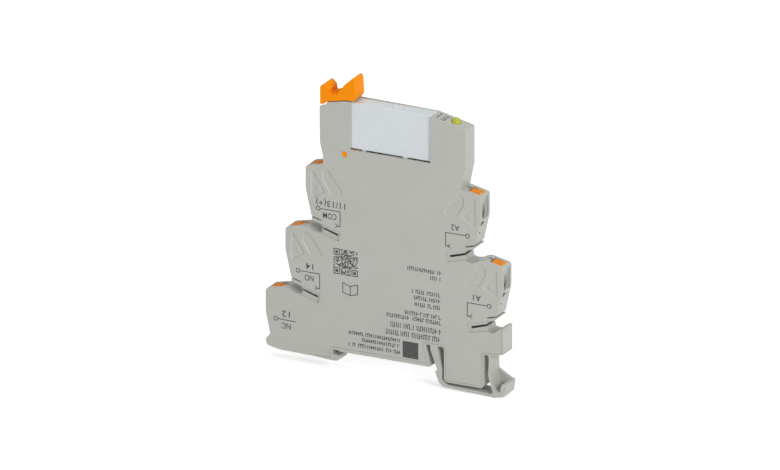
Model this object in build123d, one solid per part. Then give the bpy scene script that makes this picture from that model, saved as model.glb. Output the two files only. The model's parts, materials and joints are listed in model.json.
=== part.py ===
from build123d import *
import os
from collections import namedtuple
from math import cos, radians, sin

# Slim relay module for a 35 mm mounting rail. Millimetres.
# +Z points away from the rail, +X along the module, and the flat side with the cover looks to -Y.
# The origin is the middle of the seat that lies on the rail's flanges.

# Driving dimensions
module_width = 6.2
cover_thickness = 1.0
back_thickness = 1.0

front = -module_width / 2
back = module_width / 2
cover_inside = front + cover_thickness
back_inside = back - back_thickness

rail_half_width = 17.5
rail_flange = 1.0
seat_half_width = 15.1
seat_relief = 0.35

relay_length = 28.0
relay_height = 14.4
relay_width = 5.0
relay_left = -13.05
relay_bottom = 65.0
relay_wall = 0.4
relay_right = relay_left + relay_length
relay_top = relay_bottom + relay_height

lever_pivot = (-13.5, 62.8)
pivot_radius = 0.9
pivot_clearance = 0.04
lever_blade_width = 3.6

pusher_width = 3.9
wire_radius = 1.6
wire_guide_length = 6.3
wire_pitch_angle = 45.0
entry_depth = 0.8
seam = 0.08
top_slope = 12.3

# Inside the relay: heights above the rail seat
yoke_top = 67.3
core_height = 71.2
blade_root = 67.2
rivet_height = 75.3
card_bottom = 77.2
pin_bottom = 61.1
base_top = 66.4
core_end = 0.0
moving_x = -5.2
break_x = -6.9
make_x = -3.5
break_pin_x = -7.6
make_pin_x = -2.8
coil_pins = [(9.0, 1.4), (12.6, 1.4)]
contact_pins = [(break_pin_x, 0.0), (moving_x, 0.0), (make_pin_x, 0.0)]
pin_thick = 0.5
pin_wide = 0.8
relay_inside = relay_width / 2 - relay_wall

# The circuit board, its sockets and the ends of the bars' tails on it
board_front = 0.9
board_back = 1.9
socket_places = contact_pins + coil_pins
board_reach = {"com": -7.6, "no": -11.0, "a2": 16.8, "a1": 16.8}

lens_radius = 1.5
lens_x = 22.0

Level = namedtuple("Level", "name side x z")
levels = [
    Level("com", 1, -26.5, 57.2),
    Level("no", 1, -33.2, 36.6),
    Level("nc", 1, -39.75, 16.1),
    Level("a2", -1, 31.75, 56.6),
    Level("a1", -1, 38.95, 35.25),
]
bridged = [level for level in levels if level.name != "nc"]
com, no, nc, a2, a1 = levels


def at(level, inward, up):
    """A point of the side view, measured from the outer top corner of a terminal level."""
    return (level.x + level.side * inward, level.z + up)


def face(corners):
    """A closed outline in the side view; a corner is (x, z) or (x, z, radius)."""
    points = [(corner[0], corner[1]) for corner in corners]
    radii = [corner[2] if len(corner) > 2 else 0 for corner in corners]
    if any(radii):
        return make_face(FilletPolyline(*points, radius=radii, close=True))
    return make_face(Polyline(*points, close=True))


def slab(sketch, y0, y1):
    """The side-view sketch as a solid from y0 to y1."""
    return extrude(Plane.XZ.offset(-y1) * sketch, amount=y1 - y0)


def plate(corners, y0, y1):
    return slab(face(corners), y0, y1)


def rod(x, z, radius, y0, y1):
    """A round bar across the module."""
    return slab(Pos(x, z) * Circle(radius), y0, y1)


def block(x0, x1, y0, y1, z0, z1):
    return Pos((x0 + x1) / 2, (y0 + y1) / 2, (z0 + z1) / 2) * Box(x1 - x0, y1 - y0, z1 - z0)


def strip(points, thickness, y0, y1, bend=0.0):
    """A flat spring or bar bent along a route in the side view, of even thickness."""
    route = FilletPolyline(*points, radius=bend) if bend else Polyline(*points)
    return slab(trace(route, thickness), y0, y1)


def local(level, *corners):
    """Corners given from a level's outer top corner, as side-view corners."""
    return [at(level, corner[0], corner[1]) + tuple(corner[2:]) for corner in corners]


def channel(upper, lower):
    """The groove between two levels, where a comb bridge lies, from the lower level's crest."""
    dishes = local(lower, (6.1, 1.33, 0.7), (7.4, 1.15, 1.5), (9.2, 0.25), (10.7, -0.05, 1.6), (12.2, 0.25))
    tongue = local(upper, (5.35, -18.8), (5.35, -17.85), (2.5, -17.0, 0.6), (1.9, -16.4),
                   (2.05, -15.75, 0.0), (1.85, -15.2))
    return dishes + tongue


def outline():
    hook = [
        (-rail_half_width - 0.1, seat_relief),
        (-rail_half_width - 0.05, -rail_flange - 0.1),
        (-15.3, -1.45),
        (-15.9, -3.1),
        (-18.0, -3.2),
        (-24.5, -2.8, 3.0),
        (-35.0, -2.6, 4.0),
        (-39.3, -1.8, 1.2),
        (-39.8, 0.1, 0.8),
        (-38.25, 2.0),
    ]
    left = local(nc, (0.0, -7.0, 6.0), (0.0, 0.0, 0.9))
    left += channel(no, nc) + local(no, (0.0, -7.0, 5.0), (0.0, 0.0, 0.9))
    left += channel(com, no) + local(com, (0.0, -7.0, 5.0), (0.0, 0.0, 0.9))
    head = [
        (-20.75, 58.45),
        (-20.7, 61.2, 1.0),
        (-21.75, 65.4, 3.0),
        (-21.85, 76.7),
        (-21.3, 76.95),
        (-20.35, 77.15),
        (-19.2, 78.35),
        (-13.3, 79.65),
        (15.0, 79.35),
        (26.65, 76.75, 0.6),
        (26.65, 65.0, 3.0),
        (25.2, 58.05),
    ]
    right = local(a2, (0.0, 0.0, 0.9), (0.0, -7.0, 5.0)) + channel(a2, a1)[::-1]
    right += local(a1, (0.0, 0.0, 0.9), (0.0, -7.0, 5.0))
    foot_top = local(a1, (1.85, -15.2), (2.05, -15.75), (1.9, -16.4), (2.5, -17.0, 0.6),
                     (5.35, -17.85), (5.35, -18.8))
    block_edge = [
        (34.0, 14.35),
        (35.6, 14.0, 1.6),
        (37.15, 14.75),
        (37.3, 15.2),
        (38.3, 15.75),
        (39.2, 15.85),
        (39.2, 7.75),
        (34.9, 6.95),
    ]
    tongue = [
        (32.75, 6.7),
        (32.75, -3.95, 1.4),
        (19.5, -3.95, 1.4),
        (19.5, 7.0, 0.7),
        (13.35, 7.0),
        (15.05, 0.3),
        (seat_half_width - 0.6, 0.0),
        (-seat_half_width, 0.0),
        (-seat_half_width - 0.6, seat_relief),
    ]
    return hook + left + head + right + foot_top + block_edge + tongue


# The sprung foot is moulded on: a thin leg on each side of the tongue, a bar below and a tab
foot_leg = [
    (14.9, 7.1),
    (15.0, 5.6),
    (17.25, -0.25),
    (17.45, -0.85),
    (16.55, -1.15),
    (17.7, -4.1, 1.0),
    (19.1, -5.5, 0.9),
    (30.0, -5.9),
    (36.2, -6.25, 1.0),
    (39.8, -5.35, 0.9),
    (40.24, -2.0, 1.0),
    (40.24, -1.4, 0.4),
    (38.9, -0.95),
    (34.95, 1.4, 0.8),
    (34.85, 7.15),
    (34.25, 7.15),
    (34.45, 5.0, 0.6),
    (34.15, 0.6, 2.0),
    (35.85, -4.9, 0.6),
    (34.9, -5.35, 0.4),
    (30.0, -4.95),
    (20.6, -4.75, 1.6),
    (18.75, -3.2, 1.2),
    (18.9, 0.0, 2.0),
    (17.35, 6.2, 0.5),
    (17.3, 7.1),
]

# Cavities opened from the cover side
head_cavity = [
    (-9.5, 61.6),
    (-9.5, 44.0),
    (-13.2, 33.2),
    (-20.0, 31.0),
    (-20.0, 12.2),
    (-26.0, 12.0),
    (-26.0, 2.3),
    (11.2, 2.3),
    (11.2, 8.5),
    (20.6, 8.5),
    (20.6, -2.85),
    (31.6, -2.85),
    (31.6, 8.2),
    (37.5, 9.0),
    (37.5, 12.3),
    (25.5, 12.3),
    (25.5, 31.5),
    (19.0, 33.5),
    (18.8, 55.0),
    (24.2, 61.5),
    (25.4, 66.0),
    (25.4, 75.6),
    (16.2, 77.6),
    (16.2, 61.6),
]


def wire_axis(level):
    """Direction in which a wire leaves its entry."""
    return Vector(-level.side * cos(radians(wire_pitch_angle)), 0, sin(radians(wire_pitch_angle)))


def wire_guide_end(level):
    """Inner end of the round wire guide, on its axis."""
    x, z = at(level, 4.15, -8.55)
    return Vector(x, 0, z)


def wire_entry(level):
    """The round guide of a wire, and the recess of the end face that it opens into."""
    guide = Pos(0, 0, wire_guide_length / 2) * Cylinder(wire_radius, wire_guide_length)
    guide = Plane(origin=wire_guide_end(level), z_dir=wire_axis(level)) * guide
    scoop = plate(local(level, (-1.0, -0.8), (0.4, -0.8), (entry_depth, -3.3), (entry_depth, -7.55),
                        (-1.0, -7.55)), cover_inside, back_inside)
    return guide + scoop


def pusher_corners(level):
    """Side outline of a pusher at rest: a stepped head and a shank with a slanted nose."""
    return local(level, (0.95, 0.05), (1.25, -1.2), (3.2, -1.6, 0.4), (4.9, -5.8),
                 (5.8, -5.0), (4.9, -0.6), (4.6, 0.55), (3.35, 0.3), (3.3, 0.62))


def pusher_way(level):
    """The slot that guides a pusher, as long as its travel needs, and open at the top."""
    return local(level, (0.85, 1.6), (0.85, 0.0), (1.45, -2.95), (3.4, -3.45), (5.1, -7.3), (6.3, -7.2),
                 (5.15, -0.4), (4.85, 1.6))


def clamp_chamber(level):
    """Room for the leaf spring, the wire's end and the current bar."""
    return local(level, (5.28, -7.42), (6.0, -5.3), (6.0, -1.9), (8.1, -0.2), (13.0, -7.2),
                 (13.0, -13.6), (5.9, -13.6), (2.49, -10.21))


def bridge_chamber(level):
    """Room for the sprung fork that grips the tongue of a comb bridge."""
    return local(level, (10.9, -13.4), (10.9, -18.9), (6.0, -17.9), (6.0, -20.5), (12.1, -22.3),
                 (12.1, -13.4))


def bridge_way(level):
    """The slanted slot for a comb bridge, below a level, with its contact chamber."""
    return local(level, (5.0, -18.55), (10.7, -20.25), (10.5, -20.95), (5.0, -19.25))


def recess(level):
    """The shallow rhomb in the side that takes the bridge's insulated back."""
    return local(level, (5.0, -17.85), (6.1, -18.05), (11.7, -19.45), (11.05, -22.35), (5.3, -20.9),
                 (3.0, -20.3))


def parting_slit(level):
    """The narrow slit across the lower corner of an upper level."""
    return local(level, (1.2, -15.35), (5.2, -16.4), (5.08, -16.8), (1.1, -15.75))


def lever_slot():
    """Room in the head for the lever's blade over its whole swing."""
    x, z = lever_pivot
    return [(x + 2.1, z - 2.3), (x + 5.4, z - 0.2), (x + 5.4, 65.5), (relay_left - 0.15, 65.5),
            (relay_left - 0.15, 81.0), (-23.0, 81.0), (-23.0, 64.6), (-21.0, 64.6), (x - 2.3, z - 2.3, 1.0)]


def relay_bay(margin):
    return [(relay_left - margin, relay_bottom - 0.6), (relay_left - margin, 81.0), (relay_right + margin, 81.0),
            (relay_right + margin, relay_bottom - 0.6)]


def housing_tray():
    body = plate(outline(), cover_inside, back)
    for cavity in [head_cavity] + [clamp_chamber(level) for level in levels]:
        body -= plate(cavity, cover_inside, back_inside)
    for level in bridged:
        body -= plate(bridge_chamber(level), cover_inside, back_inside)
    for level in levels:
        body -= strip(bar_tail(level), 1.0, cover_inside, 1.2)
    for x, y in socket_places:
        body -= block(x - 0.75, x + 0.75, cover_inside, y + 0.6, 61.0, 65.5)
    body -= lens_place() * Pos(0, 0, -1.0) * Cylinder(lens_radius + 0.1, 8.0)
    for level in levels:
        body -= plate(pusher_way(level), -2.0, 2.0)
        body -= wire_entry(level)
        x, z = at(level, 5.6, 0.9)
        body -= Pos(x, 0.3, z) * Rot(0, -level.side * top_slope, 0) * Box(1.3, 1.5, 5.0)
    for level in bridged:
        body -= plate(bridge_way(level), cover_inside, 1.9)
        body -= plate(parting_slit(level), cover_inside, back)
        body -= plate(recess(level), back - 0.3, back)
    body -= plate(lever_slot(), cover_inside, 2.0)
    x, z = lever_pivot
    body -= rod(x, z, pivot_radius + pivot_clearance, 1.9, back)
    body -= plate(relay_bay(0.1), cover_inside, relay_width / 2 + 0.06)
    rim = plate(face_rim, front, cover_inside)
    foot = plate(foot_leg, front, back) - tab_pocket()
    return body + rim + foot


def tab_pocket():
    """The pocket for a screwdriver blade in the end of the foot."""
    return plate([(34.95, 1.6), (35.65, -2.0), (36.6, -4.2, 0.5), (38.3, -4.3), (38.45, -2.25),
                  (38.95, -1.55), (41.5, -1.6), (41.5, 1.6)], front - 0.1, back - 1.0)


# The part of the tray that comes through to the face, around the rail and the foot
face_rim = [
    (-rail_half_width - 0.1, seat_relief),
    (-rail_half_width - 0.05, -rail_flange - 0.1),
    (-15.3, -1.45),
    (-15.9, -3.1, 0.5),
    (-18.0, -3.2),
    (-24.2, -2.8),
    (-23.7, -2.4),
    (-18.35, -2.4, 0.6),
    (-18.35, 1.1, 0.5),
    (13.95, 1.1),
    (12.3, 7.5, 0.6),
    (20.1, 7.5, 1.2),
    (20.1, -3.35, 0.9),
    (32.1, -3.35, 0.9),
    (32.1, 7.3, 0.9),
    (38.65, 7.9),
    (38.65, 15.75),
    (39.2, 15.85, 0.4),
    (39.2, 7.75),
    (34.9, 6.95),
    (32.75, 6.7),
    (32.75, -3.95, 1.4),
    (19.5, -3.95, 1.4),
    (19.5, 7.0, 0.7),
    (13.35, 7.0, 0.5),
    (15.05, 0.3),
    (seat_half_width - 0.6, 0.0),
    (-seat_half_width, 0.0),
    (-seat_half_width - 0.6, seat_relief),
]


def cover_windows(level):
    """The thinned fields over the pusher and the spring of one terminal."""
    over_wire = local(level, (1.8, -1.1), (2.7, -1.5), (6.4, -6.9), (6.3, -7.8), (2.3, -10.0), (1.6, -8.7))
    over_spring = local(level, (5.6, -1.0), (7.2, -0.2), (8.0, -0.9), (12.3, -6.4), (12.1, -7.5), (8.7, -7.9),
                        (7.9, -7.3), (5.6, -3.6))
    return [over_wire, over_spring]


def side_cover():
    panel = plate(outline(), front, cover_inside)
    panel -= slab(offset(face(face_rim), amount=seam), front, cover_inside)
    panel -= plate(relay_bay(0.1), front + 0.5, cover_inside)
    panel -= plate([(-11.6, 64.85), (-11.6, 81.0), (15.0, 81.0), (15.0, 64.85)], front, cover_inside)
    x, z = lever_pivot
    panel -= rod(x, z, pivot_radius + pivot_clearance, front, cover_inside)
    for level in bridged:
        panel -= plate(recess(level), front, front + 0.4)
        panel -= plate(bridge_way(level), front, cover_inside)
        panel -= plate(parting_slit(level), front, cover_inside)
        for window in cover_windows(level):
            panel -= plate(window, front, front + 0.15)
        x, z = at(level, 4.1, -6.9)
        panel += rod(x, z, 0.5, front + 0.05, front + 0.2)
    # The seam cuts loose slivers off along the rail and the foot, and only the panel itself is kept
    return panel.solids().sort_by(SortBy.VOLUME)[-1]


def lever():
    """Ejecting lever: a grip across the full width, a blade inside the head and a toe under the relay."""
    x, z = lever_pivot
    grip = plate([
        (-21.7, 77.5),
        (-21.7, 83.1),
        (-20.6, 84.0, 0.7),
        (-19.1, 82.6, 0.6),
        (-18.85, 81.0),
        (-18.2, 80.7),
        (-17.8, 81.25),
        (-17.3, 80.75),
        (-16.9, 81.5),
        (-16.3, 80.95),
        (-15.8, 82.0),
        (-13.2, 85.2, 0.5),
        (-12.2, 85.9),
        (-11.0, 87.35, 0.5),
        (-10.35, 86.2),
        (-10.0, 81.3, 0.5),
        (-10.6, 80.05),
        (-13.2, 79.98, 0.5),
        (-19.3, 78.65),
        (-20.45, 77.62),
    ], front, back)
    half = lever_blade_width / 2
    blade = plate([
        (-19.6, 78.2),
        (-19.6, 80.2),
        (-13.9, 80.2),
        (-13.35, 77.0, 0.5),
        (-13.35, z + 1.8, 0.4),
        (x + 3.4, z + 1.7),
        (x + 4.9, z + 2.1),
        (x + 4.9, z + 1.2),
        (x + 1.6, z - 1.3, 0.8),
        (x - 1.7, z - 1.3, 0.9),
        (x - 1.9, z + 1.4, 0.8),
        (-19.3, 72.5, 1.0),
    ], -half, half)
    pin = rod(x, z, pivot_radius, front + 0.02, back - 0.02)
    return grip + blade + pin


def pusher(level):
    half = pusher_width / 2
    return plate(pusher_corners(level), -half, half)


def relay_cover():
    outside = block(relay_left, relay_right, -relay_width / 2, relay_width / 2, relay_bottom, relay_top)
    outside = fillet(outside.edges().filter_by(Axis.Z), 0.35)
    outside = chamfer(outside.faces().sort_by(Axis.Z)[-1].edges(), 0.25)
    inside = block(relay_left + relay_wall, relay_right - relay_wall, -relay_width / 2 + relay_wall,
                   relay_width / 2 - relay_wall, relay_bottom - 1, relay_top - relay_wall)
    for x in (1.7, 5.5):
        outside += Pos(x, 0, relay_top + 0.1) * Cylinder(0.8, 0.3)
    return outside - inside


def pin(x, y, top):
    return block(x - pin_thick / 2, x + pin_thick / 2, y - pin_wide / 2, y + pin_wide / 2, pin_bottom, top)


def rivet(x0, x1):
    """A contact rivet along X."""
    return Pos((x0 + x1) / 2, 0, rivet_height) * Rot(0, 90, 0) * Cylinder(0.9, x1 - x0)


def relay_base():
    plug = block(relay_left + relay_wall + 0.05, relay_right - relay_wall - 0.05, -relay_inside + 0.05,
                 relay_inside - 0.05, relay_bottom, base_top)
    for x0, x1 in [(-8.0, -6.8), (5.6, 7.0)]:
        plug += block(x0, x1, -relay_width / 2 + 0.05, relay_width / 2 - 0.05, relay_bottom - 0.5, relay_bottom)
    barrier = block(-9.6, -9.1, -relay_inside + 0.05, relay_inside - 0.05, base_top, 75.5)
    plug += barrier
    for x, y in contact_pins + coil_pins:
        plug -= block(x - pin_thick / 2, x + pin_thick / 2, y - pin_wide / 2, y + pin_wide / 2,
                      relay_bottom - 1, base_top)
    return plug


def fixed_contact(x, pin_x, rivet_from, rivet_to):
    """A fixed contact blade with its rivet, and a foot that leads to its pin."""
    blade = block(x - 0.12, x + 0.12, -1.4, 1.4, base_top, 76.4)
    foot = block(min(x, pin_x) - 0.12, max(x, pin_x) + 0.12, -1.4, 1.4, base_top, base_top + 0.3)
    return blade + foot + pin(pin_x, 0.0, base_top + 0.1) + rivet(rivet_from, rivet_to)


def moving_contact():
    blade = block(moving_x - 0.1, moving_x + 0.1, -1.4, 1.4, blade_root, 76.6)
    blade += block(moving_x - 0.1, moving_x + 0.1, -0.7, 0.7, 76.6, 77.9)
    return blade + rivet(break_x + 0.87, moving_x - 0.1) + rivet(moving_x + 0.1, moving_x + 0.65)


def relay_card():
    card = block(-5.9, 0.3, -1.6, 1.6, card_bottom, 78.2)
    card -= block(moving_x - 0.16, moving_x + 0.16, -0.8, 0.8, card_bottom - 1, 79.0)
    card -= block(-1.3, -0.3, -0.95, 0.95, card_bottom - 1, 79.0)
    return card


def relay_armature():
    flap = block(-1.2, -0.4, -1.7, 1.7, 66.7, 76.6)
    return flap + block(-1.2, -0.4, -0.85, 0.85, 76.6, 77.9)


def relay_yoke():
    bar = block(-0.35, 14.0, -1.9, 0.85, 66.5, yoke_top) + block(13.2, 14.0, -1.9, 1.9, 66.5, 74.6)
    return bar - block(13.0, 14.2, -0.7, 0.7, core_height - 1.3, core_height + 1.3)


def relay_core():
    return block(core_end, 14.0, -0.7, 0.7, core_height - 1.3, core_height + 1.3)


def relay_bobbin():
    tube = block(0.15, 12.95, -1.1, 1.1, core_height - 1.7, core_height + 1.7)
    for x0, x1 in [(0.15, 0.75), (12.3, 12.95)]:
        tube += block(x0, x1, -1.95, 1.95, 67.4, 75.0)
    return tube - block(0.0, 13.2, -0.72, 0.72, core_height - 1.32, core_height + 1.32)


def relay_winding():
    coil = block(0.75, 12.3, -1.9, 1.9, core_height - 3.3, core_height + 3.3)
    coil = fillet(coil.edges().filter_by(Axis.X), 1.2)
    return coil - block(0.0, 13.0, -1.1, 1.1, core_height - 1.7, core_height + 1.7)


def bar_start(level):
    """Corner of the bar under the wire, where its tail leaves for the board."""
    return at(level, 12.6, -13.17)


def bar_tail(level):
    x, z = bar_start(level)
    if level is nc:
        return [(x, z), (-11.3, z), (-11.3, 15.5)]
    return [(x, z), (board_reach[level.name], z)]


def current_bar(level):
    """Bent strip that the wire is pressed against, with the fork for the comb bridge and a tail."""
    bar = strip(local(level, (2.93, -10.06), (6.04, -13.17), (12.6, -13.17), (12.6, -9.0)), 0.6, -1.7, 1.7, 0.6)
    if level is not nc:
        bar += strip(local(level, (6.6, -20.2), (11.5, -21.65), (11.5, -13.17)), 0.5, -1.5, 1.5)
        bar += strip(local(level, (6.6, -18.3), (11.5, -19.75)), 0.5, -1.5, 1.5)
    return bar + strip(bar_tail(level), 0.6, -0.7, 0.85)


def clamp_spring(level):
    """Leaf spring: the fixed leg lies on the bar, the free leg crosses the wire's way."""
    route = local(level, (12.13, -9.8), (11.75, -7.0), (8.55, -1.7), (6.7, -3.4), (5.5, -11.3))
    return strip(route, 0.3, -1.6, 1.6, 0.7)


def socket_contact(x, y):
    """Two tines that grip a relay pin, on a tail soldered to the board."""
    inner = pin_thick / 2 + 0.04
    tines = block(x - inner - 0.3, x - inner, y - 0.45, y + 0.45, 60.9, 64.0)
    tines += block(x + inner, x + inner + 0.3, y - 0.45, y + 0.45, 60.9, 64.0)
    tines += block(x - inner - 0.3, x + inner + 0.3, min(y - 0.45, 0.0), y + 0.45, 60.5, 60.9)
    return tines + block(x - 0.3, x + 0.3, 0.0, board_front - 0.02, 58.4, 60.6)


def circuit_board():
    outline_points = [(-8.9, 60.3), (-8.9, 43.0), (-12.2, 34.5), (-12.2, 13.5), (17.9, 13.5), (17.9, 54.6),
                      (21.9, 60.2), (21.9, 64.8), (17.0, 64.8), (17.0, 60.3)]
    return plate(outline_points, board_front, board_back)


def lens_place():
    """Where the indicator comes through the sloping top, looking out of it."""
    surface = 79.35 - (lens_x - 15.0) * (79.35 - 76.75) / (26.65 - 15.0)
    tilt = 12.6
    return Pos(lens_x, 0.2, surface) * Rot(0, tilt, 0)


def led_lens():
    """Round-headed light guide from the chip on the board up through the top."""
    dome = Sphere(lens_radius) & Pos(0, 0, lens_radius / 2) * Box(4.0, 4.0, lens_radius)
    barrel = Pos(0, 0, -2.0) * Cylinder(lens_radius, 4.0)
    stem = Pos(0, 0, -8.0) * Box(1.8, 1.8, 8.0)
    return lens_place() * (dome + barrel + stem)


parts_on_board = {
    "indicator_chip": block(18.2, 20.2, -0.6, board_front - 0.02, 61.8, 63.2),
    "rectifier": block(6.5, 11.2, -1.7, board_front - 0.02, 48.5, 52.5),
    "varistor": rod(11.8, 38.5, 3.6, -1.5, board_front - 0.02),
    "series_capacitor": block(-2.0, 8.6, -1.9, board_front - 0.02, 18.5, 26.5),
    "transistor": block(0.0, 3.0, -0.3, board_front - 0.02, 49.5, 51.0),
    "diode": Pos(-3.5, 0.0, 40.5) * Cylinder(0.85, 4.0),
    "resistor_1": block(1.0, 4.2, 0.3, board_front - 0.02, 42.0, 43.6),
    "resistor_2": block(1.0, 4.2, 0.3, board_front - 0.02, 38.8, 40.4),
    "resistor_3": block(12.6, 15.8, 0.3, board_front - 0.02, 55.0, 56.6),
}

nodes = {}
nodes["housing_tray"] = housing_tray()
nodes["side_cover"] = side_cover()
nodes["ejector_lever"] = lever()
for level in levels:
    nodes["pusher_" + level.name] = pusher(level)
    nodes["clamp_spring_" + level.name] = clamp_spring(level)
    nodes["current_bar_" + level.name] = current_bar(level)
nodes["relay_cover"] = relay_cover()
nodes["relay_base"] = relay_base()
nodes["relay_bobbin"] = relay_bobbin()
nodes["relay_winding"] = relay_winding()
nodes["relay_core"] = relay_core()
nodes["relay_yoke"] = relay_yoke()
nodes["relay_armature"] = relay_armature()
nodes["relay_card"] = relay_card()
nodes["relay_moving_contact"] = moving_contact()
nodes["relay_break_contact"] = fixed_contact(break_x, break_pin_x, break_x + 0.12, break_x + 0.85)
nodes["relay_make_contact"] = fixed_contact(make_x, make_pin_x, make_x - 0.54, make_x - 0.12)
nodes["relay_common_pin"] = pin(moving_x, 0.0, blade_root - 0.1)
nodes["relay_coil_pins"] = Compound([pin(x, y, yoke_top) for x, y in coil_pins])
for number, (x, y) in enumerate(socket_places, 1):
    nodes["socket_contact_" + str(number)] = socket_contact(x, y)
nodes["circuit_board"] = circuit_board()
nodes["led_lens"] = led_lens()
nodes.update(parts_on_board)

os.makedirs("parts", exist_ok=True)
for name, solid in nodes.items():
    export_step(solid, "parts/" + name + ".step")
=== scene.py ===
import json
import math
import random
from collections import namedtuple

import bmesh
import bpy
from mathutils import Matrix, Vector


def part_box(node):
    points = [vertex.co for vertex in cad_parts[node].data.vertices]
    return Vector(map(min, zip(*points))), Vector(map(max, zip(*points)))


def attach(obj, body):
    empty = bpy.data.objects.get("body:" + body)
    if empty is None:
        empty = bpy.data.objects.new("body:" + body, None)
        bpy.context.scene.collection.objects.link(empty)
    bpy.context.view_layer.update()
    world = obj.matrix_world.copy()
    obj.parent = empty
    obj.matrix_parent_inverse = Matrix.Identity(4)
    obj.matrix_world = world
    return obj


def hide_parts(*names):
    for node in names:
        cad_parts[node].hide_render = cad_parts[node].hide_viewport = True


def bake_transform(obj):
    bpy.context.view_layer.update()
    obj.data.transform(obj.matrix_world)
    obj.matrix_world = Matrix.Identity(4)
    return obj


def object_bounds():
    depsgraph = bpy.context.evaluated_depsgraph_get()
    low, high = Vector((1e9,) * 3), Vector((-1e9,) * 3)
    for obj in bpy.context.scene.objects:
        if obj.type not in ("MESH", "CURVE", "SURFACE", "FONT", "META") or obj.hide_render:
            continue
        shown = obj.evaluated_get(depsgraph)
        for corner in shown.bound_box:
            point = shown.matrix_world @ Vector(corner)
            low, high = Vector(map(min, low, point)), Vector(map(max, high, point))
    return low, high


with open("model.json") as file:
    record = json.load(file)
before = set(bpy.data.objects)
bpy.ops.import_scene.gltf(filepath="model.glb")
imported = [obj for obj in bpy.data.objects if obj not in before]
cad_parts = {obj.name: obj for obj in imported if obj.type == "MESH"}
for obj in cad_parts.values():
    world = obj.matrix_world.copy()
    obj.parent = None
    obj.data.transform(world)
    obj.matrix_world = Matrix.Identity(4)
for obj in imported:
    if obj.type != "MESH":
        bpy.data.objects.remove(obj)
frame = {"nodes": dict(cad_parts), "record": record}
nodes = frame["nodes"]
cad_low, cad_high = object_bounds()
mm = 0.001
front_face = -3.1 * mm
print_thickness = 0.012 * mm


def linear(code):
    """An sRGB hex colour as the linear colour that a shader socket takes."""
    parts = [int(code[i:i + 2], 16) / 255 for i in (0, 2, 4)]
    return [p / 12.92 if p <= 0.04045 else ((p + 0.055) / 1.055) ** 2.4 for p in parts] + [1.0]


def add(tree, kind, inputs=None, links=None, **settings):
    """One node with its settings, its socket values, and links from other nodes' sockets."""
    made = tree.nodes.new(kind)
    for name, value in settings.items():
        setattr(made, name, value)
    for name, value in (inputs or {}).items():
        made.inputs[name].default_value = value
    for name, source in (links or {}).items():
        tree.links.new(source, made.inputs[name])
    return made


def surface(name, base, **sockets):
    """A new material: its tree, its shader and its Object coordinates."""
    material = bpy.data.materials.new(name)
    material.use_nodes = True
    tree = material.node_tree
    shader = tree.nodes["Principled BSDF"]
    shader.inputs["Base Color"].default_value = linear(base)
    for socket, value in sockets.items():
        shader.inputs[socket.replace("_", " ")].default_value = value
    place = add(tree, "ShaderNodeTexCoord").outputs["Object"]
    return material, tree, shader, place


def moulded(name, dark, pale, rough, grain_mm, depth_mm, **sockets):
    """Injection moulded plastic: spark-eroded grain, and a faint drift of shade where the melt ran."""
    material, tree, shader, place = surface(name, pale, **sockets)
    drift = add(tree, "ShaderNodeTexNoise", {"Scale": 1 / (9 * mm), "Detail": 3.0}, {"Vector": place})
    shade = add(tree, "ShaderNodeMix", None, {"Factor": drift.outputs["Fac"]}, data_type="RGBA")
    shade.inputs[6].default_value = linear(dark)
    shade.inputs[7].default_value = linear(pale)
    tree.links.new(shade.outputs[2], shader.inputs["Base Color"])
    grain = add(tree, "ShaderNodeTexNoise", {"Scale": 1 / (grain_mm * mm), "Detail": 2.0}, {"Vector": place})
    gloss = add(tree, "ShaderNodeMapRange", {"To Min": rough - 0.05, "To Max": rough + 0.07},
                {"Value": grain.outputs["Fac"]})
    tree.links.new(gloss.outputs["Result"], shader.inputs["Roughness"])
    bump = add(tree, "ShaderNodeBump", {"Strength": 0.6, "Distance": depth_mm * mm},
               {"Height": grain.outputs["Fac"]})
    tree.links.new(bump.outputs["Normal"], shader.inputs["Normal"])
    return material


def rolled(name, dark, pale, rough, along):
    """Rolled or drawn metal strip: fine lines along the rolling direction, brighter and duller by turns."""
    material, tree, shader, place = surface(name, pale, Metallic=1.0)
    lines = [1 / (1.5 * mm) if axis == along else 1 / (0.08 * mm) for axis in "XYZ"]
    stretch = add(tree, "ShaderNodeMapping", {"Scale": lines}, {"Vector": place})
    drawn = add(tree, "ShaderNodeTexNoise", {"Scale": 1.0, "Detail": 2.0},
                {"Vector": stretch.outputs["Vector"]})
    shade = add(tree, "ShaderNodeMix", None, {"Factor": drawn.outputs["Fac"]}, data_type="RGBA")
    shade.inputs[6].default_value = linear(dark)
    shade.inputs[7].default_value = linear(pale)
    tree.links.new(shade.outputs[2], shader.inputs["Base Color"])
    gloss = add(tree, "ShaderNodeMapRange", {"To Min": rough - 0.06, "To Max": rough + 0.1},
                {"Value": drawn.outputs["Fac"]})
    tree.links.new(gloss.outputs["Result"], shader.inputs["Roughness"])
    bump = add(tree, "ShaderNodeBump", {"Strength": 0.3, "Distance": 0.004 * mm},
               {"Height": drawn.outputs["Fac"]})
    tree.links.new(bump.outputs["Normal"], shader.inputs["Normal"])
    return material


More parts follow.
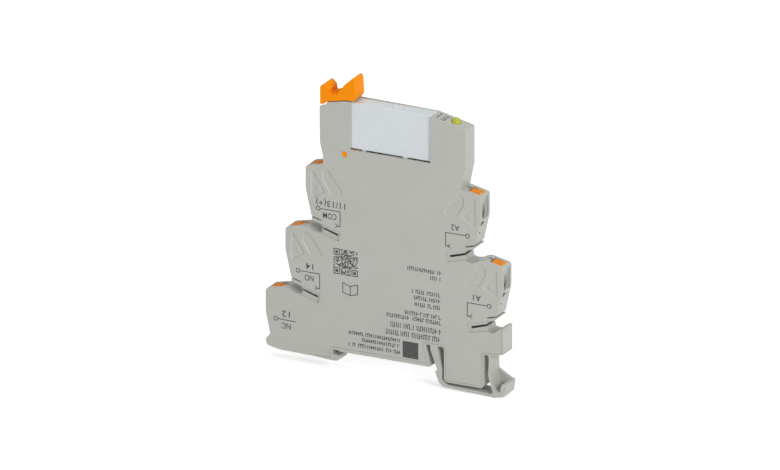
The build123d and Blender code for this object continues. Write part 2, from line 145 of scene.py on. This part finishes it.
def wound(name, dark, pale, wire_mm):
    """Enamelled wire wound side by side: round ridges one wire apart along the bobbin, and a clear gloss.
    The colour is darker in the grooves between turns and paler on their crowns, as painted shade and painted
    light.
    """
    material, tree, shader, place = surface(name, pale, Metallic=0.6, Roughness=0.28)
    turns = add(tree, "ShaderNodeTexWave", {"Scale": 0.314 / (wire_mm * mm), "Distortion": 0.4},
                {"Vector": place}, bands_direction="X")
    # Painted shade in the grooves between turns, painted light on their crowns
    shade = add(tree, "ShaderNodeMix", None, {"Factor": turns.outputs["Fac"]}, data_type="RGBA")
    shade.inputs[6].default_value = linear(dark)
    shade.inputs[7].default_value = linear(pale)
    tree.links.new(shade.outputs[2], shader.inputs["Base Color"])
    bump = add(tree, "ShaderNodeBump", {"Strength": 0.8, "Distance": wire_mm * mm / 2},
               {"Height": turns.outputs["Fac"]})
    tree.links.new(bump.outputs["Normal"], shader.inputs["Normal"])
    return material


def ink(name, code):
    """Pad-printed ink: matt, a little uneven where the pad left less of it."""
    material, tree, shader, place = surface(name, code, Roughness=0.6)
    patches = add(tree, "ShaderNodeTexNoise", {"Scale": 1 / (0.5 * mm), "Detail": 3.0}, {"Vector": place})
    shade = add(tree, "ShaderNodeMix", None, {"Factor": patches.outputs["Fac"]}, data_type="RGBA")
    shade.inputs[6].default_value = linear(code)
    shade.inputs[7].default_value = linear("6f716e")
    thin = add(tree, "ShaderNodeMapRange", {"From Min": 0.45, "From Max": 0.9, "To Max": 0.5},
               {"Value": patches.outputs["Fac"]})
    tree.links.new(thin.outputs["Result"], shade.inputs["Factor"])
    tree.links.new(shade.outputs[2], shader.inputs["Base Color"])
    return material


def tinted_clear_painted_glow(name, code):
    """Clear polycarbonate tinted yellow: light goes through and gathers at its rim, and a faint painted glow
    of its own colour brightens the whole lens.
    """
    material, tree, shader, place = surface(name, code, Roughness=0.18, IOR=1.58, Transmission_Weight=0.12,
                                            Emission_Strength=0.02)
    # Painted glow: the lens gives off a little light of its own colour, to brighten it
    shader.inputs["Emission Color"].default_value = linear(code)
    flow = add(tree, "ShaderNodeTexNoise", {"Scale": 1 / (1.2 * mm), "Detail": 2.0}, {"Vector": place})
    bump = add(tree, "ShaderNodeBump", {"Strength": 0.15, "Distance": 0.02 * mm},
               {"Height": flow.outputs["Fac"]})
    tree.links.new(bump.outputs["Normal"], shader.inputs["Normal"])
    return material


finishes = {
    # Glass-filled polyamide, spark-eroded mould: dull warm grey with a fine even grain
    "grey_polyamide": moulded("grey_polyamide_moulding", "b1b2ab", "b9bab3", 0.44, 0.22, 0.010),
    # Orange polyamide, the same grain but a smoother mould: a soft sheen on the edges
    "orange_polyamide": moulded("orange_polyamide_moulding", "f68e00", "fd9800", 0.5, 0.25, 0.008,
                                Specular_IOR_Level=0.1),
    # Pale polyester relay cover: smooth, slightly glossy, cool white
    "pale_plastic": moulded("relay_polyester_moulding", "cfd6d9", "d8dee1", 0.33, 0.30, 0.004),
    "white_plastic": moulded("card_polyester_moulding", "e4e2da", "ebe9e2", 0.42, 0.20, 0.005),
    "black_epoxy": moulded("component_epoxy_moulding", "202022", "2c2c2f", 0.45, 0.12, 0.008),
    # Epoxy-dipped parts: thick glossy coat with slow waves
    "film_yellow": moulded("capacitor_epoxy_coat", "c9961c", "d8a52c", 0.25, 1.4, 0.03, Coat_Weight=0.4),
    "varistor_blue": moulded("varistor_epoxy_coat", "1d4e8f", "2760a6", 0.28, 1.2, 0.03, Coat_Weight=0.4),
    "resistor_black": moulded("resistor_coat", "1a1a1d", "26262b", 0.35, 0.15, 0.004),
    # Solder mask over glass cloth: glossy green, the weave just showing at 0.5 mm
    "board_green": moulded("solder_mask_on_glass_cloth", "12502a", "1a6337", 0.30, 0.5, 0.01,
                           Coat_Weight=0.3),
    "spring_steel": rolled("spring_steel_strip", "8f9092", "c4c5c7", 0.30, "Z"),
    "tinned_copper": rolled("tinned_copper_strip", "b9bbbd", "dcdddf", 0.34, "X"),
    "soft_iron": rolled("nickel_plated_iron", "9b9a94", "c9c7c0", 0.38, "X"),
    "contact_brass": rolled("contact_brass_strip", "a8843c", "d9b766", 0.30, "Z"),
    "copper_wire": wound("enamelled_copper_winding", "7a3514", "c4683a", 0.12),
    # The indicator lens, with a faint painted glow
    "led_lens": tinted_clear_painted_glow("tinted_polycarbonate_painted_glow", "b3b804"),
}
cover_ink = ink("pad_printed_grey_ink", "3c3e3f")
record_slots = {row["node"]: row["material_slot"] for row in frame["record"]["subparts"]}
body_of = {}
for body, members in frame["record"]["behaviour"]["bodies"].items():
    for member in members:
        body_of[member] = body

for name, part in nodes.items():
    part.data.materials.clear()
    part.data.materials.append(finishes[record_slots[name]])


def keep_mesh(part):
    """The evaluated mesh of a piece in place of its modifiers."""
    bpy.context.view_layer.update()
    evaluated = part.evaluated_get(bpy.context.evaluated_depsgraph_get())
    part.data = bpy.data.meshes.new_from_object(evaluated)
    part.modifiers.clear()


def as_mesh(name, shape):
    """The mesh of a finished shape."""
    mesh = bpy.data.meshes.new(name)
    shape.to_mesh(mesh)
    shape.free()
    return mesh


def piece(name, mesh, material, body):
    """A new object that moves with a body, of one material unless its mesh brings its own."""
    made = bpy.data.objects.new(name, mesh)
    bpy.context.scene.collection.objects.link(made)
    if not mesh.materials:
        mesh.materials.append(material)
    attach(made, body)
    return made


# Outer top corner of each terminal in the side view, and the way from it into the module, as in the CAD
terminal_corners = {"com": (-26.5, 57.2, 1), "no": (-33.2, 36.6, 1), "nc": (-39.75, 16.1, 1),
                    "a2": (31.75, 56.6, -1), "a1": (38.95, 35.25, -1)}


def slope_fields(shape):
    """The thinned fields of the cover slope down from the face, a hair deeper, so that their edges show."""
    field_depth, slope_width, mark_reach, deeper = 0.15 * mm, 0.34 * mm, 0.8 * mm, 0.12 * mm
    marks = [Vector((x + side * 4.1, 0, z - 6.9)) * mm for x, z, side in terminal_corners.values()]
    floors = [f for f in shape.faces
              if f.normal.y < -0.99 and abs(f.calc_center_median().y - front_face - field_depth) < 0.01 * mm]
    slopes = bmesh.ops.inset_region(shape, faces=floors, use_boundary=True, use_even_offset=True,
                                    thickness=slope_width)["faces"]
    for v in {v for floor in floors for v in floor.verts}:
        v.co.y += deeper
    known = set(slopes) | set(floors)
    for slope in slopes:
        for edge in slope.edges:
            edge.smooth = False
        for v in slope.verts:
            on_wall = any(near not in known for near in v.link_faces)
            if on_wall and all((Vector((v.co.x, 0, v.co.z)) - mark).length > mark_reach for mark in marks):
                v.co.y = front_face
    bmesh.ops.remove_doubles(shape, verts=shape.verts, dist=1e-6)


def widen_gap(shape):
    """The lower edge of the relay's window lies a hair lower, so that the gap under the relay shows."""
    left, right, edge_height, lower = -11.7 * mm, 15.1 * mm, 64.85 * mm, 0.25 * mm
    for v in shape.verts:
        if left < v.co.x < right and abs(v.co.z - edge_height) < 0.02 * mm:
            v.co.z -= lower


def eased(node_name, width_mm):
    """A moulding's copy with its faces joined and the small radius that a mould leaves on its edges."""
    shape = bmesh.new()
    shape.from_mesh(nodes[node_name].data)
    bmesh.ops.remove_doubles(shape, verts=shape.verts, dist=1e-6)
    bmesh.ops.dissolve_limit(shape, angle_limit=math.radians(0.5), verts=shape.verts, edges=shape.edges,
                             use_dissolve_boundaries=False)
    if node_name == "side_cover":
        slope_fields(shape)
        widen_gap(shape)
    mesh = bpy.data.meshes.new(node_name + "_eased")
    shape.to_mesh(mesh)
    shape.free()
    made = bpy.data.objects.new(node_name + "_eased", mesh)
    bpy.context.scene.collection.objects.link(made)
    mesh.materials.clear()
    mesh.materials.append(finishes[record_slots[node_name]])
    for polygon in mesh.polygons:
        polygon.use_smooth = True
    radius = made.modifiers.new("edge radius", "BEVEL")
    radius.width = width_mm * mm
    radius.segments = 2
    radius.limit_method = "ANGLE"
    radius.angle_limit = math.radians(32)
    radius.use_clamp_overlap = True
    shading = made.modifiers.new("flat faces", "WEIGHTED_NORMAL")
    shading.keep_sharp = True
    shading.weight = 100
    keep_mesh(made)
    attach(made, body_of[node_name])
    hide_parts(node_name)


mouldings = {"housing_tray": 0.12, "side_cover": 0.12, "ejector_lever": 0.14, "relay_cover": 0.10}
for name in nodes:
    if name.startswith("pusher_"):
        mouldings[name] = 0.12
for name, width in mouldings.items():
    eased(name, width)


def bending_spring(terminal, x, z, side):
    """A still copy of a clamp spring in place of its CAD piece; nothing in it gives way as the pusher goes
    in.

    The terminal's corner that it is given is not used.
    """
    node_name = "clamp_spring_" + terminal
    made = bpy.data.objects.new(node_name + "_bending", nodes[node_name].data.copy())
    bpy.context.scene.collection.objects.link(made)
    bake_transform(made)
    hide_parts(node_name)


for terminal, corner in terminal_corners.items():
    bending_spring(terminal, *corner)


# Printed marks are thin patches of ink, each drawn in mm on one flat of the module
Flat = namedtuple("Flat", "origin across up out")
cover_face = Flat(Vector((0, front_face, 0)), Vector((1, 0, 0)), Vector((0, 0, 1)), Vector((0, -1, 0)))


def ink_patch(shape, flat, points):
    """A patch of ink with its thickness, half of it sunk into the surface."""
    places = [flat.origin + (flat.across * x + flat.up * z) * mm for x, z in points]
    top, bottom = [[shape.verts.new(place + flat.out * height) for place in places]
                   for height in (print_thickness, -print_thickness)]
    count = len(points)
    shape.faces.new(top)
    shape.faces.new(bottom[::-1])
    for i in range(count):
        after = (i + 1) % count
        shape.faces.new([bottom[i], bottom[after], top[after], top[i]])


def ink_strokes(shape, flat, strokes, half_width):
    """Straight ink lines between two points each."""
    for start, end in strokes:
        start, end = Vector(start), Vector(end)
        along = (end - start).normalized() * half_width
        across = Vector((-along.y, along.x))
        start, end = start - along, end + along
        ink_patch(shape, flat, [start - across, end - across, end + across, start + across])


def ink_ring(shape, flat, x, z, radius, half_width):
    """The open circle of a terminal symbol."""
    steps = 20
    for i in range(steps):
        a, b = (2 * math.pi * k / steps for k in (i, i + 1))
        ink_patch(shape, flat, [(x + r * math.cos(t), z + r * math.sin(t))
                                for r, t in ((radius - half_width, a), (radius + half_width, a),
                                             (radius + half_width, b), (radius - half_width, b))])


def path(points, closed=False):
    """The strokes that join points in turn."""
    return list(zip(points, points[1:] + points[:1] if closed else points[1:]))


def ink_words(text, x0, x1, z0, z1):
    """Characters fitted to a box in mm, upside down as the module is printed."""
    curve = bpy.data.curves.new("ink_words", "FONT")
    curve.body = text
    curve.offset = 0.008
    curve.extrude = 1.0
    holder = bpy.data.objects.new("ink_words", curve)
    bpy.context.scene.collection.objects.link(holder)
    bpy.context.view_layer.update()
    letters = bmesh.new()
    letters.from_mesh(bpy.data.meshes.new_from_object(
        holder.evaluated_get(bpy.context.evaluated_depsgraph_get())))
    bpy.data.objects.remove(holder)
    bmesh.ops.remove_doubles(letters, verts=letters.verts, dist=1e-5)
    low_x = min(v.co.x for v in letters.verts)
    high_x = max(v.co.x for v in letters.verts)
    low_y = min(v.co.y for v in letters.verts)
    high_y = max(v.co.y for v in letters.verts)
    for v in letters.verts:
        across = (v.co.x - low_x) / (high_x - low_x)
        up = (v.co.y - low_y) / (high_y - low_y)
        x, z = x1 - across * (x1 - x0), z1 - up * (z1 - z0)
        v.co = Vector((x * mm, front_face - v.co.z * print_thickness, z * mm))
    return as_mesh("ink_words", letters)


def terminal_symbol(shape, x, z, reach, drop):
    """A terminal's circle with its lead along and down to the contact, and the contact's small hook."""
    side = 1 if reach > x else -1
    ink_ring(shape, cover_face, x, z, symbol_circle, symbol_line)
    fork = (reach - side * 0.75, drop + 0.1)
    lead = [(x + side * symbol_circle, z), (reach, z), (reach, drop), fork]
    hook = [(reach - side * 1.5, drop - 0.45), fork, (reach - side * 1.5, drop + 0.65)]
    ink_strokes(shape, cover_face, path(lead), symbol_line)
    ink_strokes(shape, cover_face, path(hook), symbol_line)


def dotted_square(shape, left, low, size, cells):
    """A square field of made-up dots, of no meaning, where the module has its machine-read mark."""
    dots = random.Random(7)
    pitch = size / cells
    for row in range(cells):
        for column in range(cells):
            corners = (row, column), (row, cells - 1 - column), (cells - 1 - row, column)
            ring = min(max(abs(r - 3), abs(c - 3)) for r, c in corners)
            if (ring in (0, 1, 3) if ring <= 4 else dots.random() < 0.52):
                x, z = left + column * pitch, low + row * pitch
                dot = [(x, z), (x + pitch, z), (x + pitch, z + pitch), (x, z + pitch)]
                ink_patch(shape, cover_face, dot)


def print_row_tree():
    """Node tree for a row of print in plain strokes: uprights with gaps, some joined by a cross stroke."""
    tree = bpy.data.node_groups.new("print_row", "GeometryNodeTree")
    for name, kind in (("Length", "Float"), ("Height", "Float"), ("Pitch", "Float"), ("Stroke", "Float"),
                       ("Depth", "Float"), ("Seed", "Int"), ("Ink", "Material")):
        tree.interface.new_socket(name, in_out="INPUT", socket_type="NodeSocket" + kind)
    tree.interface.new_socket("Geometry", in_out="OUTPUT", socket_type="NodeSocketGeometry")
    given = add(tree, "NodeGroupInput").outputs
    # One point for each upright, less the gaps between words
    count = add(tree, "ShaderNodeMath", None, {0: given["Length"], 1: given["Pitch"]}, operation="DIVIDE")
    step = add(tree, "ShaderNodeCombineXYZ", None, {"X": given["Pitch"]})
    line = add(tree, "GeometryNodeMeshLine", None, {"Count": count.outputs[0], "Offset": step.outputs[0]})
    gap = add(tree, "FunctionNodeRandomValue", {"Probability": 0.16}, {"Seed": given["Seed"]},
              data_type="BOOLEAN")
    places = add(tree, "GeometryNodeDeleteGeometry", None,
                 {"Geometry": line.outputs[0], "Selection": gap.outputs[3]})
    # A bar of unit size that hangs from its point
    cube = add(tree, "GeometryNodeMeshCube")
    bar = add(tree, "GeometryNodeTransform", {"Translation": (0, 0, -0.5)},
              {"Geometry": cube.outputs["Mesh"]})
    upright_size = add(tree, "ShaderNodeCombineXYZ", None,
                       {"X": given["Stroke"], "Y": given["Depth"], "Z": given["Height"]})
    uprights = add(tree, "GeometryNodeInstanceOnPoints", None,
                   {"Points": places.outputs[0], "Instance": bar.outputs[0],
                    "Scale": upright_size.outputs[0]})
    # The cross strokes lie at the top, the middle or the foot of the row
    level = add(tree, "FunctionNodeRandomValue", {4: 0, 5: 2}, {"Seed": given["Seed"]}, data_type="INT")
    room = add(tree, "ShaderNodeMath", None, {0: given["Stroke"], 1: given["Height"]}, operation="SUBTRACT")
    half = add(tree, "ShaderNodeMath", {1: 0.5}, {0: room.outputs[0]}, operation="MULTIPLY")
    drop = add(tree, "ShaderNodeMath", None, {0: half.outputs[0], 1: level.outputs[2]}, operation="MULTIPLY")
    aside = add(tree, "ShaderNodeMath", {1: 0.5}, {0: given["Pitch"]}, operation="MULTIPLY")
    shift = add(tree, "ShaderNodeCombineXYZ", None, {"X": aside.outputs[0], "Z": drop.outputs[0]})
    moved = add(tree, "GeometryNodeSetPosition", None,
                {"Geometry": places.outputs[0], "Offset": shift.outputs[0]})
    other_seed = add(tree, "ShaderNodeMath", {1: 1.0}, {0: given["Seed"]}, operation="ADD")
    crossed = add(tree, "FunctionNodeRandomValue", {"Probability": 0.6}, {"Seed": other_seed.outputs[0]},
                  data_type="BOOLEAN")
    cross_size = add(tree, "ShaderNodeCombineXYZ", None,
                     {"X": given["Pitch"], "Y": given["Depth"], "Z": given["Stroke"]})
    crosses = add(tree, "GeometryNodeInstanceOnPoints", None,
                  {"Points": moved.outputs[0], "Selection": crossed.outputs[3], "Instance": bar.outputs[0],
                   "Scale": cross_size.outputs[0]})
    both = add(tree, "GeometryNodeJoinGeometry")
    for strokes in (crosses, uprights):
        tree.links.new(strokes.outputs[0], both.inputs[0])
    real = add(tree, "GeometryNodeRealizeInstances", None, {"Geometry": both.outputs[0]})
    inked = add(tree, "GeometryNodeSetMaterial", None,
                {"Geometry": real.outputs[0], "Material": given["Ink"]})
    add(tree, "NodeGroupOutput", None, {"Geometry": inked.outputs[0]})
    return tree


def print_row(tree, right, z, length, height, seed):
    """One row of print, of a height and a length in mm, that ends at the same margin as its neighbours."""
    holder = bpy.data.objects.new("print_row", bpy.data.meshes.new("print_row"))
    bpy.context.scene.collection.objects.link(holder)
    row = holder.modifiers.new("print row", "NODES")
    row.node_group = tree
    values = {"Length": length * mm, "Height": height * mm, "Pitch": 0.62 * mm, "Stroke": 0.25 * mm,
              "Depth": 2 * print_thickness, "Seed": seed, "Ink": cover_ink}
    for socket in tree.interface.items_tree:
        if socket.in_out == "INPUT":
            row[socket.identifier] = values[socket.name]
    keep_mesh(holder)
    strokes = holder.data
    strokes.transform(Matrix.Translation(((right - length) * mm, front_face, (z + height / 2) * mm)))
    bpy.data.objects.remove(holder)
    return strokes


# Right margin, height above the seat, length and letter height of each row of print
print_rows = [(18.9, 30.3, 11.4, 1.2), (18.9, 28.3, 3.8, 1.2), (18.9, 23.2, 9.9, 1.25),
              (18.9, 21.3, 9.2, 1.25), (18.9, 19.2, 9.0, 1.25), (18.9, 16.1, 12.2, 1.25),
              (18.9, 14.4, 18.3, 1.25), (18.9, 11.6, 17.0, 1.65), (18.9, 9.1, 18.6, 1.65),
              (5.4, 6.7, 17.4, 1.15), (5.4, 4.9, 13.0, 1.15), (5.4, 3.0, 18.0, 1.15)]
# Half the width of a symbol's lines, and the radius of its circle
symbol_line = 0.13
symbol_circle = 0.62
# The middle of each terminal's circle, and how far its lead goes along and down
terminal_symbols = [(-22.3, 44.3, -15.0, 39.6), (-29.0, 23.5, -21.8, 18.8), (27.4, 43.6, 20.1, 39.3),
                    (34.6, 22.5, 27.3, 18.2)]
# Terminal numbers and contact letters, each with its left, right, lower and upper edge
terminal_words = [("11/13(+)", -23.0, -13.3, 45.2, 47.8), ("14", -26.4, -23.9, 24.4, 26.3),
                  ("12", -34.4, -31.7, 8.0, 9.9), ("A2", 21.9, 24.7, 44.6, 46.5),
                  ("A1", 29.2, 31.8, 23.5, 25.4), ("COM", -20.7, -16.2, 41.4, 43.3),
                  ("NO", -26.8, -23.8, 20.7, 22.6), ("NC", -34.4, -31.4, 4.2, 6.1)]


def cover_print():
    """All the print on the cover, as one piece."""
    shape = bmesh.new()
    for symbol in terminal_symbols:
        terminal_symbol(shape, *symbol)
    # The lowest terminal has a plain lead
    ink_ring(shape, cover_face, -36.4, 7.1, symbol_circle, symbol_line)
    ink_strokes(shape, cover_face, [((-36.4 + symbol_circle, 7.1), (-29.8, 7.0))], symbol_line)
    dotted_square(shape, -17.2, 24.5, 8.1, 27)
    # The open booklet that asks for the leaflet to be read
    booklet = [(-14.1, 22.0), (-11.65, 21.2), (-9.2, 22.0), (-9.2, 19.0), (-11.65, 18.3), (-14.1, 19.0)]
    fold = ((-11.65, 21.2), (-11.65, 18.3))
    ink_strokes(shape, cover_face, path(booklet, closed=True) + [fold], symbol_line)
    # A plain square keeps the place of the mark that is left out
    ink_patch(shape, cover_face, [(5.8, 1.7), (11.0, 1.7), (11.0, 6.9), (5.8, 6.9)])
    bmesh.ops.recalc_face_normals(shape, faces=shape.faces)
    for words in terminal_words:
        shape.from_mesh(ink_words(*words))
    tree = print_row_tree()
    for seed, row in enumerate(print_rows):
        shape.from_mesh(print_row(tree, *row, seed))
    piece("cover_print", as_mesh("cover_print", shape), cover_ink, "housing")


def sloping_flat(x0, z0, x1, z1, at_x):
    """The flat through a sloping line of the side view, at one place along it, to print on crosswise."""
    along = Vector((x1 - x0, 0, z1 - z0)).normalized()
    out = Vector((-along.z, 0, along.x))
    share = (at_x - x0) / (x1 - x0)
    return Flat(Vector((at_x, 0, z0 + (z1 - z0) * share)) * mm, along, Vector((0, 1, 0)), out)


def indicator_signs():
    """Small signs beside the indicator: a wave, two bars and two hooks."""
    shape = bmesh.new()
    head_slope = (15.0, 79.35, 26.65, 76.75)
    flat = sloping_flat(*head_slope, 17.6)
    ink_strokes(shape, flat, path([(-1.4, -1.9), (-0.9, -1.2), (-1.4, -0.5), (-0.9, 0.2)]), 0.15)
    ink_strokes(shape, flat, [((-1.4, 0.9), (-1.4, 1.7)), ((-0.9, 0.9), (-0.9, 1.7))], 0.15)
    ink_strokes(shape, flat, path([(0.3, -1.9), (1.4, -1.9), (1.4, -0.7), (0.3, -0.7)]), 0.17)
    ink_strokes(shape, flat, path([(0.3, 0.2), (1.4, 0.2), (1.4, 1.4), (0.3, 1.4)]), 0.17)
    bmesh.ops.recalc_face_normals(shape, faces=shape.faces)
    piece("indicator_signs", as_mesh("indicator_signs", shape), cover_ink, "housing")


def pusher_signs(name, low, high, side):
    """The dark strokes on the top of a pusher that show where the screwdriver goes."""
    shape = bmesh.new()
    edge_x = low.x / mm if side > 0 else high.x / mm
    top = high.z / mm
    run, fall = 2.35, 0.57
    outer, inner = (edge_x, top - fall), (edge_x + side * run, top)
    ends = (outer + inner) if side > 0 else (inner + outer)
    flat = sloping_flat(*ends, edge_x + side * 1.3)
    ink_strokes(shape, flat, path([(-0.7, -1.0), (0.6, -1.0), (-0.1, 0.0), (0.6, 0.9)]), 0.085)
    ink_strokes(shape, flat, [((-0.7, 0.9), (-0.7, 0.2))], 0.085)
    bmesh.ops.recalc_face_normals(shape, faces=shape.faces)
    piece(name + "_signs", as_mesh(name + "_signs", shape), cover_ink, name)


def end_signs():
    """The dark arrow below each wire mouth, and the small tick below it, on the leaning end face."""
    shape = bmesh.new()
    arrow = ((-0.9, -2.0), (0.9, -2.0), (-0.2, 0.4))
    tick = ((2.8, -1.9), (3.2, -1.3))
    for x, z, side in terminal_corners.values():
        ends = [(x, z - 7.0), (x + side * 1.85, z - 15.2)]
        top, foot = ends if side < 0 else ends[::-1]
        flat = sloping_flat(*top, *foot, x + side * 0.45)
        down = -side
        ink_patch(shape, flat, [(down * p, q) for p, q in arrow])
        ink_strokes(shape, flat, [[(down * p, q) for p, q in tick]], 0.16)
    bmesh.ops.recalc_face_normals(shape, faces=shape.faces)
    piece("end_signs", as_mesh("end_signs", shape), cover_ink, "housing")


cover_print()
end_signs()
indicator_signs()
for name in nodes:
    if name.startswith("pusher_"):
        low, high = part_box(name)
        pusher_signs(name, low, high, 1 if low.x < 0 else -1)


# Floor, light and camera
def pale_floor():
    """White painted board: it takes the object's shadow, and the rest of it is seen as white."""
    material, tree, shader, place = surface("white_painted_board", "f2f2f2", Roughness=0.85)
    brush = add(tree, "ShaderNodeTexNoise", {"Scale": 1 / (2.5 * mm), "Detail": 2.0}, {"Vector": place})
    bump = add(tree, "ShaderNodeBump", {"Strength": 0.1, "Distance": 0.02 * mm},
               {"Height": brush.outputs["Fac"]})
    tree.links.new(bump.outputs["Normal"], shader.inputs["Normal"])
    shader.inputs["Emission Color"].default_value = linear("ffffff")
    glow = add(tree, "ShaderNodeMath", {1: 0.5}, {0: seen_directly(tree)}, operation="MULTIPLY")
    tree.links.new(glow.outputs[0], shader.inputs["Emission Strength"])
    return material


def seen_directly(tree):
    """One where the camera, a gloss or a clear part looks at the surface, zero where it only gives light."""
    rays = add(tree, "ShaderNodeLightPath").outputs
    first = add(tree, "ShaderNodeMath", None, {0: rays["Is Camera Ray"], 1: rays["Is Glossy Ray"]},
                operation="MAXIMUM")
    return add(tree, "ShaderNodeMath", None, {0: first.outputs[0], 1: rays["Is Transmission Ray"]},
               operation="MAXIMUM").outputs[0]


floor_level = cad_low.z - 0.05 * mm
floor_corners = [(x, y, floor_level) for x, y in ((-3, -3), (3, -3), (3, 3), (-3, 3))]
floor_mesh = bpy.data.meshes.new("studio_floor")
floor_mesh.from_pydata(floor_corners, [], [(0, 1, 2, 3)])
floor_mesh.materials.append(pale_floor())
floor = bpy.data.objects.new("studio_floor", floor_mesh)
bpy.context.scene.collection.objects.link(floor)

world = bpy.data.worlds.new("studio_light")
bpy.context.scene.world = world
world.use_nodes = True
sky = world.node_tree
sky.nodes.clear()
white = add(sky, "ShaderNodeBackground", {"Color": linear("ffffff"), "Strength": 1.0})
soft = add(sky, "ShaderNodeBackground", {"Color": linear("ffffff"), "Strength": 0.28})
mixed = add(sky, "ShaderNodeMixShader", None,
            {0: seen_directly(sky), 1: soft.outputs[0], 2: white.outputs[0]})
add(sky, "ShaderNodeOutputWorld", None, {"Surface": mixed.outputs[0]})


def panel(name, place, target, size, power):
    """A square soft box that looks at a point."""
    lamp = bpy.data.lights.new(name, "AREA")
    lamp.shape = "SQUARE"
    lamp.size = size
    lamp.energy = power
    made = bpy.data.objects.new(name, lamp)
    bpy.context.scene.collection.objects.link(made)
    made.location = place
    made.rotation_euler = (Vector(target) - Vector(place)).to_track_quat("-Z", "Y").to_euler()


# The lights look at the middle of the module
aim = (0.0, 0.0, 0.04)
panel("key_panel", (0.9, -0.5, 0.5), aim, 0.4, 6.8)
panel("fill_panel", (-0.35, -0.85, 0.35), aim, 0.6, 1.8)
panel("top_panel", (0.05, 0.1, 0.9), aim, 0.6, 2.3)

camera_data = bpy.data.cameras.new("photo_camera")
camera = bpy.data.objects.new("photo_camera", camera_data)
bpy.context.scene.collection.objects.link(camera)
bpy.context.scene.camera = camera
azimuth, elevation = math.radians(26.5), math.radians(20.2)
toward = Vector((math.sin(azimuth) * math.cos(elevation), -math.cos(azimuth) * math.cos(elevation),
                 math.sin(elevation)))
right = Vector((math.cos(azimuth), math.sin(azimuth), 0))
up = toward.cross(right)
# The middle of the seat, on the front face, lies at this place in the picture
seat_across, seat_down = 385.2, 359.4
pixels_per_metre = 3360.0
image_width, image_height = 780, 470
middle = (Vector((0, front_face, 0)) + right * ((image_width / 2 - seat_across) / pixels_per_metre)
          + up * ((seat_down - image_height / 2) / pixels_per_metre))
camera_data.type = "ORTHO"
camera_data.ortho_scale = image_width / pixels_per_metre
camera_distance = 1.0
camera.location = middle + toward * camera_distance
camera.rotation_mode = "QUATERNION"
camera.rotation_quaternion = toward.to_track_quat("Z", "Y")
camera_data.clip_start = 0.01
camera_data.clip_end = 10.0

bpy.context.scene.view_settings.view_transform = "Standard"
